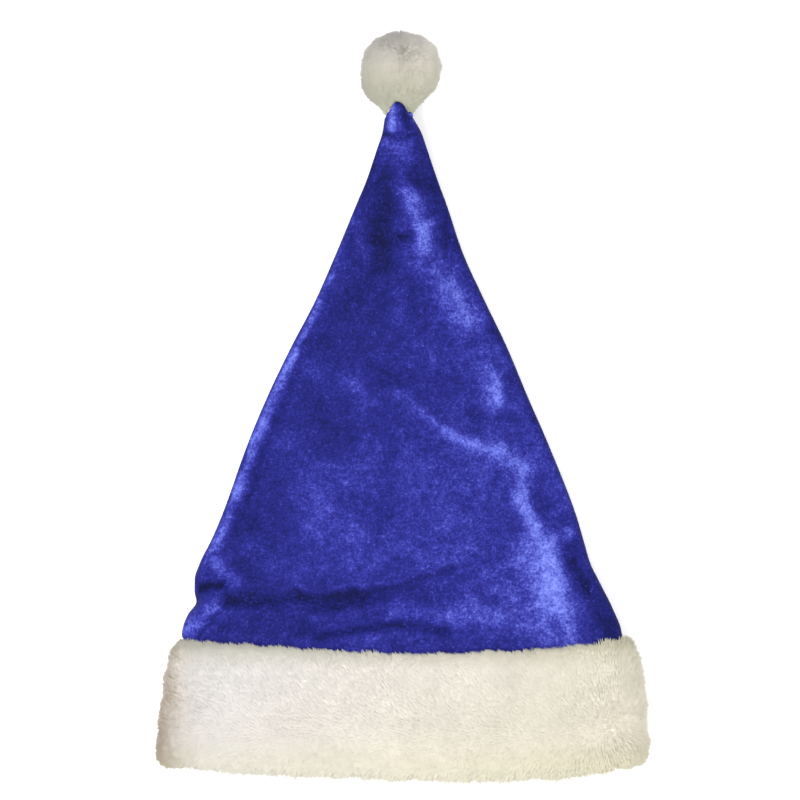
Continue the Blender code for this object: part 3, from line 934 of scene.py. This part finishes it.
# Plush: tufts of a few hairs each, whose sizes are shares of the pile's length
tuftShape = {
    "hairs": 7,
    "seed": 5,
    "radius": 0.105,
    "spread": 0.20,
    "innermost": 0.10,
    "curl": 0.20,
    "gather": 0.80,  # how much of its distance from the middle a hair's tip keeps
    "hairLengths": (0.72, 1.10),
    "tuftLengths": (0.78, 1.12),
    "unevenTurn": 0.7,
    "twist": 0.8,
    "stray": 0.18,  # how far single tufts lean out of line
    "tuftVariety": 0.04,  # how much lighter the lightest tuft is than the darkest
    "lockVariety": 0.16,
    "leastUp": 0.25,  # hairs over the mouth are lit as if the cloth faced up by at least this
}


def makeTuft():
    # A small bunch of three-sided hairs, one unit tall, whose tips draw together
    rng = random.Random(tuftShape["seed"])
    hairs, curl, twist = tuftShape["hairs"], tuftShape["curl"], tuftShape["twist"]
    points, faces, along = [], [], []
    for hair in range(hairs):
        turn = 2 * math.pi * (hair + rng.random() * tuftShape["unevenTurn"]) / hairs
        reach = tuftShape["spread"] * math.sqrt(rng.uniform(tuftShape["innermost"], 1.0))
        root = Vector((reach * math.cos(turn), reach * math.sin(turn), 0.0))
        sway = Vector((rng.uniform(-1, 1), rng.uniform(-1, 1), 0.0)) * curl
        height = Vector((0.0, 0.0, rng.uniform(*tuftShape["hairLengths"])))
        facing = math.pi / 2 + rng.uniform(-twist, twist)
        first = len(points)
        for corner in range(3):
            angle = facing + math.pi / 3 * (2 * corner + 1)
            points.append(root + tuftShape["radius"] * Vector((math.cos(angle), math.sin(angle), 0.0)))
        points.append(root * tuftShape["gather"] + sway + height)
        along += [0.0, 0.0, 0.0, 1.0]
        faces += [(first + corner, first + (corner + 1) % 3, first + 3) for corner in range(3)]
    mesh = bpy.data.meshes.new("plush tuft")
    mesh.from_pydata([tuple(point) for point in points], [], faces)
    mesh.shade_smooth()
    addFloatAttribute(mesh, "along", along)
    return addObject("plush tuft", mesh)


def makePileTree():
    # Leaning tufts planted all over a cloth and joined
    kinds = {
        "Cloth": "Geometry",
        "Tufts per m2": "Float",
        "Tuft": "Object",
        "Length": "Float",
        "Swirl": "Float",
        "Swirl scale": "Float",
        "Seed": "Int",
        "Material": "Material",
    }
    tree, given = startTree("plush pile", kinds, "Pile")

    def keepAs(name, geometry, value, kind, domain):
        inputs = {"Name": name, "Geometry": geometry, "Value": value}
        settings = {"data_type": kind, "domain": domain}
        node = addNode(tree, "GeometryNodeStoreNamedAttribute", name, inputs, **settings)
        return node.outputs["Geometry"]

    def readBack(name, kind):
        inputs = {"Name": name}
        node = addNode(tree, "GeometryNodeInputNamedAttribute", name, inputs, data_type=kind)
        return node.outputs["Attribute"]

    def randomBetween(label, low, high, kind):
        inputs = {"Min": low, "Max": high, "Seed": given["Seed"]}
        return addNode(tree, "FunctionNodeRandomValue", label, inputs, data_type=kind).outputs["Value"]

    def align(label, axis, inputs, **settings):
        node = addNode(tree, "FunctionNodeAlignRotationToVector", label, inputs, axis=axis, **settings)
        return node.outputs["Rotation"]

    inputs = {"Mesh": given["Cloth"], "Density": given["Tufts per m2"], "Seed": given["Seed"]}
    plant = addNode(tree, "GeometryNodeDistributePointsOnFaces", "plant tufts", inputs)
    normal = plant.outputs["Normal"]
    planted = keepAs("clothNormal", plant.outputs["Points"], normal, "FLOAT_VECTOR", "POINT")

    # Each tuft leans with the cloth's own lean, plus a swirl that turns slowly over it
    place = addNode(tree, "GeometryNodeInputPosition").outputs["Position"]
    inputs = {"Vector": place, "Scale": given["Swirl scale"]}
    swirl = addNode(tree, "ShaderNodeTexNoise", "swirl", inputs, noise_dimensions="3D")
    centred = addVectorMath(tree, "SUBTRACT", {0: swirl.outputs["Color"], 1: (0.5, 0.5, 0.5)})
    turned = addVectorMath(tree, "SCALE", {0: centred, "Scale": given["Swirl"]})
    most = tuftShape["stray"]
    stray = randomBetween("stray", (-most, -most, -most), (most, most, most), "FLOAT_VECTOR")
    way = normal
    for extra in (readBack("lean", "FLOAT_VECTOR"), turned, stray):
        way = addVectorMath(tree, "ADD", {0: way, 1: extra})
    stand = align("stand tufts up", "Z", {"Vector": way})
    turn = align("face them outwards", "Y", {"Rotation": stand, "Vector": normal}, pivot_axis="Z")

    # Lengths vary a little from tuft to tuft
    length = randomBetween("length", *tuftShape["tuftLengths"], "FLOAT")
    for factor in (given["Length"], readBack("reach", "FLOAT")):
        length = addMath(tree, "MULTIPLY", length, factor)
    put = putInstances(tree, planted, given["Tuft"], {"Rotation": turn, "Scale": length})
    shade = addNode(tree, "FunctionNodeRandomValue", "shade", data_type="FLOAT").outputs["Value"]
    shaded = keepAs("tuftShade", put, shade, "FLOAT", "INSTANCE")
    normalBack = readBack("clothNormal", "FLOAT_VECTOR")
    tufts = keepAs("outward", shaded, normalBack, "FLOAT_VECTOR", "INSTANCE")
    return finishTree(tree, given, tufts, "Pile")


def readVectors(data, name):
    values = np.empty(len(data) * 3, dtype=np.float32)
    data.foreach_get(name, values)
    return values.reshape(-1, 3)


def softenNormals(mesh, share):
    # Fine pile is lit much as the cloth under it, so the hairs' normals turn towards the cloth's
    own, places = readVectors(mesh.vertices, "normal"), readVectors(mesh.vertices, "co")
    cloth = readVectors(mesh.attributes["outward"].data, "vector")
    overhung = (places[:, 2] > mouth["edge"]) & (cloth[:, 2] < tuftShape["leastUp"])
    cloth[overhung, 2] = tuftShape["leastUp"]
    own = np.where((own * cloth).sum(axis=1, keepdims=True) < 0, -own, own)
    mixed = own * (1 - share) + cloth * share
    mixed /= np.maximum(np.linalg.norm(mixed, axis=1, keepdims=True), 1e-6)
    mesh.normals_split_custom_set_from_vertices(mixed.tolist())
    for spare in ("outward", "clothNormal", "lean", "reach"):
        if spare in mesh.attributes:
            mesh.attributes.remove(mesh.attributes[spare])


def growPile(name, ground, wanted, piece, density, seed, plush):
    # Pile on the wanted faces of a ground, which is its points, faces, lean and reach
    points, faces, lean, reach = ground
    used, renamed = np.unique(faces[wanted], return_inverse=True)
    cloth = meshPiece(name + "_cloth", points[used], renamed.reshape(-1, 4))
    layer = cloth.data.attributes.new("lean", "FLOAT_VECTOR", "POINT")
    layer.data.foreach_set("vector", lean[used].astype(np.float32).ravel())
    addFloatAttribute(cloth.data, "reach", reach[used])
    settings = {
        "Tufts per m2": density,
        "Tuft": plushTuft,
        "Length": piece["pileLength"],
        "Swirl": piece["swirl"],
        "Swirl scale": piece["swirlScale"],
        "Seed": seed,
        "Material": plush,
    }
    pile = runTree(name, pileTree, cloth, settings)
    bpy.data.objects.remove(cloth)
    places = readVectors(pile.data.vertices, "co")
    places[:, 2] = np.maximum(places[:, 2], frameGap)
    pile.data.vertices.foreach_set("co", places.ravel())
    softenNormals(pile.data, piece["softness"])
    print(name, "hairs", len(pile.data.polygons) // 3)
    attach(pile, "root")


def placeAlong(tree, coords, line):
    # 0 to 1 along one axis, with an uneven front so that no tint ends in a straight line
    moved = addNode(tree, "ShaderNodeSeparateXYZ", "", {"Vector": coords}).outputs[line["axis"]]
    fronts = (
        (addNoise(tree, coords, "uneven tint", 55, 3), line["uneven"]),
        (addNoise(tree, coords, "speckled tint", 230, 4, 0.7), line["speckled"]),
    )
    for front, share in fronts:
        moved = addScaled(tree, moved, addMath(tree, "SUBTRACT", front, 0.5), share)
    inputs = {"Value": moved, "From Min": line["from"], "From Max": line["to"]}
    return addNode(tree, "ShaderNodeMapRange", "place along the plush", inputs).outputs["Result"]


def multiplyColours(tree, first, second):
    inputs = {"Factor": 1.0, "A": first, "B": second}
    settings = {"data_type": "RGBA", "blend_type": "MULTIPLY"}
    return addNode(tree, "ShaderNodeMix", "", inputs, **settings).outputs["Result"]


def plushMaterial(name, along, tintsWithShade, down, shades, rootShade, streakScale):
    # Pile colour: painted shade darkens it at the roots, a tint that also carries painted shade runs
    # along one axis, painted shade and light along the other, and it is uneven from lock to lock
    finish = {
        "Roughness": 0.9,
        "Specular IOR Level": 0.1,
        "Sheen Weight": 0.15,
        "Sheen Roughness": 0.5,
    }
    material, tree, shader = newMaterial(name, finish)
    coords = objectCoords(tree)
    tint = addRamp(tree, placeAlong(tree, coords, along), tintsWithShade, "plush tint with painted shade")
    shadeDown = addRamp(tree, placeAlong(tree, coords, down), shades, "shade across the plush")
    hair = readAttribute(tree, "along", "along the hair")
    tuft = readAttribute(tree, "tuftShade", "tuft shade")
    clump = addNoise(tree, coords, "uneven locks", streakScale, 3, 0.6, 0.4)
    light = addScaled(tree, rootShade, hair, 1 - rootShade)
    variety = []
    for value, spread in ((tuft, tuftShape["tuftVariety"]), (clump, tuftShape["lockVariety"])):
        variety.append(addScaled(tree, 1 - spread / 2, value, spread))
    light = addMath(tree, "MULTIPLY", light, addMath(tree, "MULTIPLY", *variety))
    both = multiplyColours(tree, tint, shadeDown)
    setInputs(shader, {"Base Color": multiplyColours(tree, both, light)})
    return material


def paddingMaterial(name, colour):
    # The woven ground that the pile is knitted into
    material, tree, shader = newMaterial(name, {"Roughness": 1.0, "Specular IOR Level": 0.1})
    coords = objectCoords(tree)
    fluff = addNoise(tree, coords, "matted roots", 420, 4, 0.7)
    lump = addNoise(tree, coords, "uneven ground", 70, 3)
    mixed = addScaled(tree, addMath(tree, "MULTIPLY", fluff, 0.6), lump, 0.4)
    dark = tuple(value * 0.85 for value in colour)
    woven = addRamp(tree, mixed, ((0.3, dark), (0.7, colour)))
    fluffy = addBump(tree, fluff, 0.5, 0.0008)
    for axis in ("X", "Y"):
        knit = addWave(tree, coords, "knit along " + axis, axis, 190, 0.8)
        fluffy = addBump(tree, knit, 0.35, 0.0004, {"Normal": fluffy})
    setInputs(shader, {"Base Color": woven, "Normal": fluffy})
    return material


def bandPlush():
    return plushMaterial(
        "cream plush",
        # Across the band: cream, pinker to the left and yellower to the right, with painted shade
        # darkening the left end where the band turns away
        {"axis": "X", "from": -0.147, "to": 0.147, "uneven": 0.014, "speckled": 0.016},
        (
            (0.00, (0.295, 0.236, 0.192)),
            (0.035, (0.400, 0.347, 0.298)),
            (0.065, (0.578, 0.540, 0.512)),
            (0.11, (0.672, 0.645, 0.632)),
            (0.50, (0.731, 0.690, 0.632)),
            (0.85, (0.722, 0.682, 0.592)),
            (1.00, (0.770, 0.716, 0.605)),
        ),
        # Down the band: painted shade over the lower half and at the top edge by the velour, painted
        # light just below the top edge, and a yellower cream at the brim
        {"axis": "Y", "from": -0.2200, "to": -0.1380, "uneven": 0.008, "speckled": 0.0},
        (
            (0.00, (0.880, 0.886, 0.805)),
            (0.14, (0.875, 0.882, 0.790)),
            (0.24, (0.855, 0.858, 0.795)),
            (0.34, (0.865, 0.865, 0.835)),
            (0.46, (0.920, 0.922, 0.900)),
            (0.58, (0.980, 0.985, 0.970)),
            (0.82, (1.020, 1.030, 1.025)),
            (0.94, (0.900, 0.918, 0.858)),
            (1.00, (0.740, 0.755, 0.680)),
        ),
        rootShade=0.92,
        streakScale=75,
    )


def surfaceWays(points):
    # Unit directions over the strip: from the brim up, and round it to the left
    up = np.roll(points, -1, axis=0) - np.roll(points, 1, axis=0)
    left = np.roll(points, 1, axis=1) - np.roll(points, -1, axis=1)
    lengths = (np.linalg.norm(way, axis=-1, keepdims=True) for way in (up, left))
    return tuple(way / np.maximum(length, 1e-9) for way, length in zip((up, left), lengths))


def makeBand():
    points, along, out, isUpper = bandGrid()
    columns = points.shape[1]
    faces = gridFaces(*points.shape[:2], closedRings=True)
    flatPoints = points.reshape(-1, 3)
    padding = paddingMaterial("plush ground", bandStrip["ground"])
    band = meshPiece("band_ground", flatPoints, faces, [padding])
    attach(band, "root")
    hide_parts("fur_band")

    # The pile is combed outwards: down round the brim, up over the velour and round both ends
    xs, ys = points[..., 0], points[..., 1]
    upwards = 2 * np.clip(along / bandStrip["combSpan"], 0.0, 1.0)[:, None] - 1
    combUp = bandStrip["combUp"] * upwards
    rightwards = np.tanh((xs - bandStrip["combTurnsAt"]) / bandStrip["combTurn"])
    combLeft = -bandStrip["combAcross"] * rightwards
    combed = np.hypot(combUp, combLeft)
    strength = bandStrip["lean"] / np.maximum(combed, bandStrip["combLeast"])
    up, left = surfaceWays(points)
    lean = (strength * combUp)[..., None] * up + (strength * combLeft)[..., None] * left
    parting = np.exp(-((combed / bandStrip["partingWidth"]) ** 2))
    reach = patchesAt(xs, ys, bandStrip["pilePatches"]) * (1 - bandStrip["partingShort"] * parting)
    ground = (flatPoints, faces, lean.reshape(-1, 3), reach.reshape(-1))

    # Which faces each piece of the pile grows from
    lips = (along < bandStrip["lipShare"]) | (along > 1 - bandStrip["lipShare"])
    onLips = np.repeat(lips, columns)[faces].any(axis=1)
    onOuter = np.repeat(out > bandStrip["pileFrom"], columns)[faces].all(axis=1)
    onUpper = isUpper.reshape(-1)[faces].any(axis=1)
    above, below = onOuter & onUpper, onOuter & ~onUpper
    place = flatPoints[faces][..., 0].mean(axis=1)
    leftEdge, rightEdge = bandStrip["pieceEdges"]
    full, thin = bandStrip["tuftsPerM2"], bandStrip["underTuftsPerM2"]
    parts = (
        ("band_pile_left", above & (place < leftEdge), full),
        ("band_pile_middle", above & (place >= leftEdge) & (place < rightEdge), full),
        ("band_pile_right", above & (place >= rightEdge), full),
        ("band_pile_lips", below & onLips, full),
        ("band_pile_under", below & ~onLips, thin),
    )
    plush = bandPlush()
    for number, (name, wanted, density) in enumerate(parts):
        growPile(name, ground, wanted, bandStrip, density, bandStrip["firstSeed"] + number, plush)


pompomBall = {
    "columns": 120,
    "rings": 90,
    "inset": 0.0036,  # how far the ground lies within the pile
    "insetFrom": (0.1700, 0.010),  # y where the inset starts, and over how much it grows
    "insetMost": 0.6,  # of the radius
    "pulledFrom": 0.196,  # past this y the ground is pulled in along y too
    "ground": (0.56, 0.54, 0.45),
    "tuftsPerM2": 1.38e6,
    "pileLength": 0.0048,
    "pileFromY": 0.1700,
    "pileGrows": (0.30, 0.170, 0.015),  # share at the neck, y where it starts, over how much
    "pilePatches": (0.25, 0.005, 67.0),
    "softness": 0.80,
    "swirl": 0.50,
    "swirlScale": 60.0,
    "lean": 0.85,
    "middle": (-0.0012, 0.1950, 0.0233),
    "whorl": (0.10, 0.64, 0.76),
    "whorlWidth": 0.14,
    "whorlShort": (0.5, 0.16),  # how much shorter the pile is at the whorl, and how far round it
    "thumbAt": (-0.0022, 0.1690),  # no pile grows under the crown's thumb
    "thumbSize": (0.0072, 0.0092),
    "thumbOver": 0.022,
    "seed": 71,
    "slot": "plush_pompom",
}


def pompomGrid():
    lowY, highY = pompomRows[0][0], pompomRows[-1][0]
    part = np.linspace(0.0, 1.0, pompomBall["rings"] + 2)[1:-1]
    ys = lowY + (highY - lowY) * (1 - np.cos(math.pi * part)) / 2
    row = pompomAt(ys)
    start, over = pompomBall["insetFrom"]
    inset = pompomBall["inset"] * np.clip((ys - start) / over, 0.0, 1.0)
    inset = np.minimum(inset, row["radius"] * pompomBall["insetMost"])
    turn = np.linspace(0, 2 * math.pi, pompomBall["columns"], endpoint=False)
    radius = (row["radius"] - inset)[:, None]
    pulled = np.clip((ys - pompomBall["pulledFrom"]) / (highY - pompomBall["pulledFrom"]), 0.0, 1.0)
    ys = ys - pompomBall["inset"] * pulled
    xs = row["side"][:, None] - radius * np.cos(turn)
    zs = row["height"][:, None] + radius * np.sin(turn)
    return np.stack([xs, np.repeat(ys[:, None], len(turn), axis=1), zs], axis=-1)


def pompomPlush():
    return plushMaterial(
        "pompom plush",
        # Along the ball: grey cream, with painted shade at the neck and over the top
        {"axis": "Y", "from": 0.172, "to": 0.221, "uneven": 0.006, "speckled": 0.0},
        (
            (0.00, (0.454, 0.458, 0.358)),
            (0.22, (0.462, 0.450, 0.368)),
            (0.40, (0.537, 0.518, 0.436)),
            (0.56, (0.572, 0.549, 0.482)),
            (0.75, (0.590, 0.566, 0.516)),
            (0.90, (0.510, 0.487, 0.462)),
            (1.00, (0.470, 0.452, 0.435)),
        ),
        # Across the ball: painted shade on the left and painted light towards the right, against the
        # key light from the left
        {"axis": "X", "from": -0.026, "to": 0.024, "uneven": 0.006, "speckled": 0.0},
        (
            (0.00, (0.700, 0.695, 0.720)),
            (0.20, (0.865, 0.865, 0.870)),
            (0.50, (1.000, 1.000, 1.000)),
            (0.85, (1.120, 1.120, 1.110)),
            (1.00, (0.930, 0.920, 0.940)),
        ),
        rootShade=0.93,
        streakScale=95,
    )


def makePompom():
    points = pompomGrid()
    rings, columns = points.shape[:2]
    flatPoints = points.reshape(-1, 3)
    faces = gridFaces(rings, columns)
    ends = np.array([points[0].mean(axis=0), points[-1].mean(axis=0)])
    nearEnd, farEnd = len(flatPoints), len(flatPoints) + 1
    last = (rings - 1) * columns
    caps = [(nearEnd, (column + 1) % columns, column) for column in range(columns)]
    caps += [(farEnd, last + column, last + (column + 1) % columns) for column in range(columns)]
    padding = paddingMaterial("pompom ground", pompomBall["ground"])
    ball = meshPiece("pompom_ground", np.vstack([flatPoints, ends]), faces.tolist() + caps, [padding])
    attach(ball, "root")
    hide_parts("pompom")

    # The pile lies away from one whorl on the upper side, so that it hangs down all round the ball
    whorl = np.array(Vector(pompomBall["whorl"]).normalized())
    outward = flatPoints - np.array(pompomBall["middle"])
    outward /= np.linalg.norm(outward, axis=1, keepdims=True)
    away = (outward @ whorl)[:, None] * outward - whorl
    turned = np.linalg.norm(away, axis=1, keepdims=True)
    lean = pompomBall["lean"] * away / np.maximum(turned, pompomBall["whorlWidth"])
    least, start, over = pompomBall["pileGrows"]
    reach = least + (1 - least) * np.clip((flatPoints[:, 1] - start) / over, 0.0, 1.0)
    reach *= patchesAt(flatPoints[:, 0], flatPoints[:, 1], pompomBall["pilePatches"])
    shorter, spread = pompomBall["whorlShort"]
    reach *= 1 - shorter * np.exp(-((turned[:, 0] / spread) ** 2)) * (outward @ whorl > 0)

    centres = flatPoints[faces].mean(axis=1)
    fromThumb = (centres[:, :2] - pompomBall["thumbAt"]) / pompomBall["thumbSize"]
    underThumb = (np.hypot(*fromThumb.T) < 1.0) & (centres[:, 2] > pompomBall["thumbOver"])
    wanted = (centres[:, 1] > pompomBall["pileFromY"]) & ~underThumb
    ground = (flatPoints, faces, lean, reach)
    plush = pompomPlush()
    density, seed = pompomBall["tuftsPerM2"], pompomBall["seed"]
    growPile("pompom_pile", ground, wanted, pompomBall, density, seed, plush)


pileTree = makePileTree()
plushTuft = makeTuft()
makeBand()
print("band made")
makePompom()
print("pompom made")
bpy.data.objects.remove(plushTuft)
